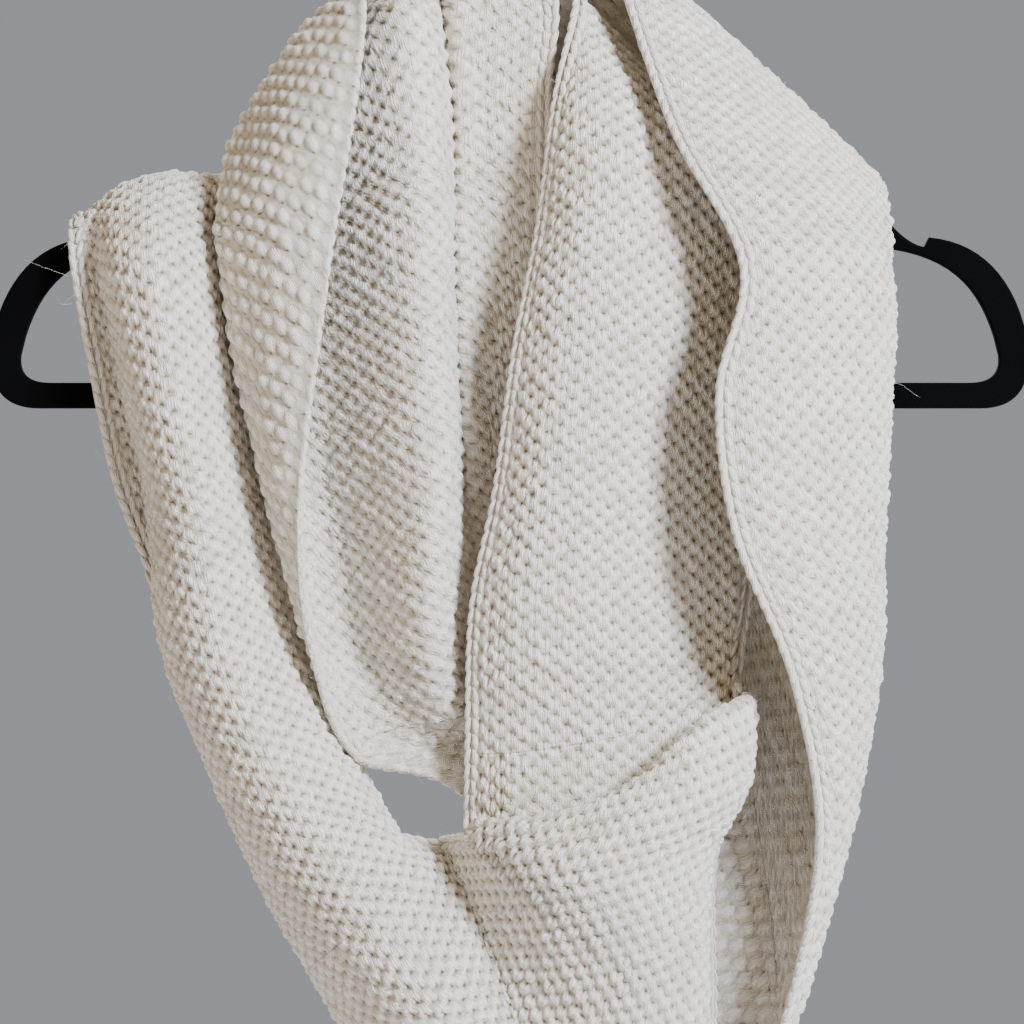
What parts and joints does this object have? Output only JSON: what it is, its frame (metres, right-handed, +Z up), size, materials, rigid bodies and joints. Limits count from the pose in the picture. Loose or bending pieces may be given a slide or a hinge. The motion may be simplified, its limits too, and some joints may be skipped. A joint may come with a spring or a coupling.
{
  "type": "infinity scarf on clothes hanger",
  "caption": "Crocheted loop scarf wound twice round a slim clothes hanger, with folded falls, a neck opening and a rolled lower sweep.",
  "frame": {"origin": "where a rail carries the hook: the inside of the hook's top, on the hanger's middle line", "axes": "+Z up, -Y towards the front of the scarf, +X to the viewer's right along the hanger"},
  "size_m": [0.445, 0.1386, 0.5618],
  "materials": {
    "yarn": "off-white crocheted yarn, matt, with a soft halo",
    "flock": "black flocked plastic",
    "wire": "bright plated steel wire"
  },
  "bodies": {
    "root": {"hanger_body": "flock", "hanger_hook": "wire", "left_outer_fall": "yarn", "lower_sweep": "yarn", "right_inner_fall": "yarn", "neck_inner_turn": "yarn", "left_inner_fall": "yarn", "crossing_under": "yarn", "right_outer_fall": "yarn", "neck_outer_turn": "yarn"}
  },
  "joints": []
}
